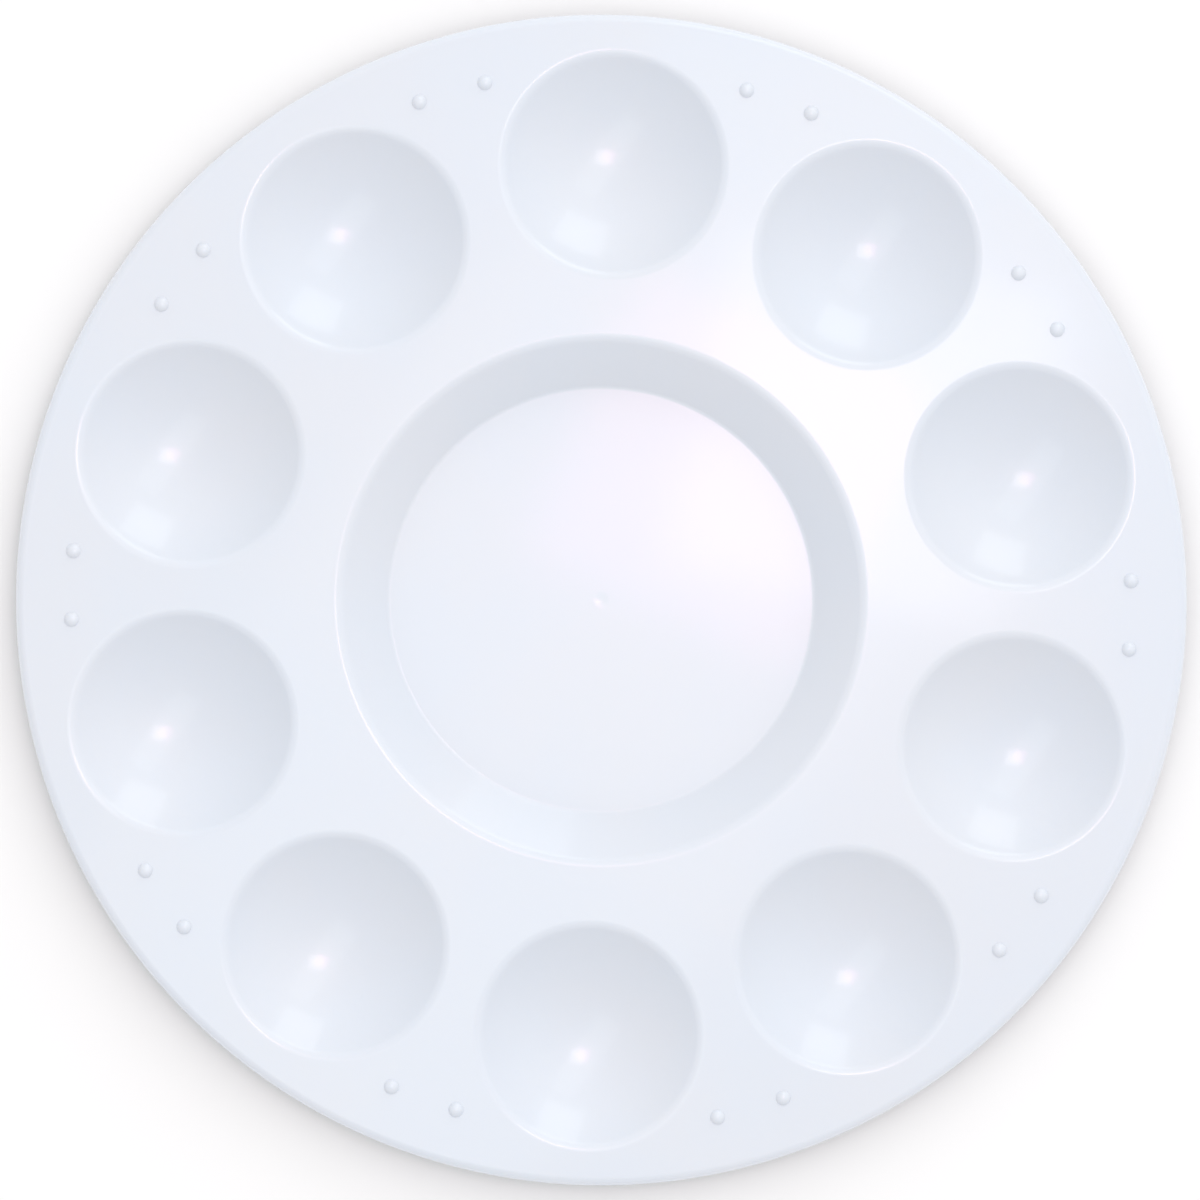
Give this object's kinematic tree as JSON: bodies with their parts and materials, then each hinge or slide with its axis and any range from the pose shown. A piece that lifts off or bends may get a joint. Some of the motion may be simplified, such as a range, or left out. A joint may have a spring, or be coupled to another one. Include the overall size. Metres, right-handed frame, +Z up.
{
  "type": "mixing palette",
  "caption": "Round moulded mixing palette: a ring of bowls for separate colours around a shallow central mixing recess, with low pips between the bowls.",
  "frame": {"origin": "centre of the plane the palette stands on, under the middle of the mixing recess", "axes": "+Z up, out of the painting side; +Y from the centre through the first bowl; +X to its right, so the bowls are numbered clockwise as seen from above"},
  "size_m": [0.17, 0.17, 0.0082],
  "materials": {
    "white_plastic": "glossy injection-moulded plastic, cool white"
  },
  "bodies": {
    "root": {"palette": "white_plastic"}
  },
  "joints": []
}
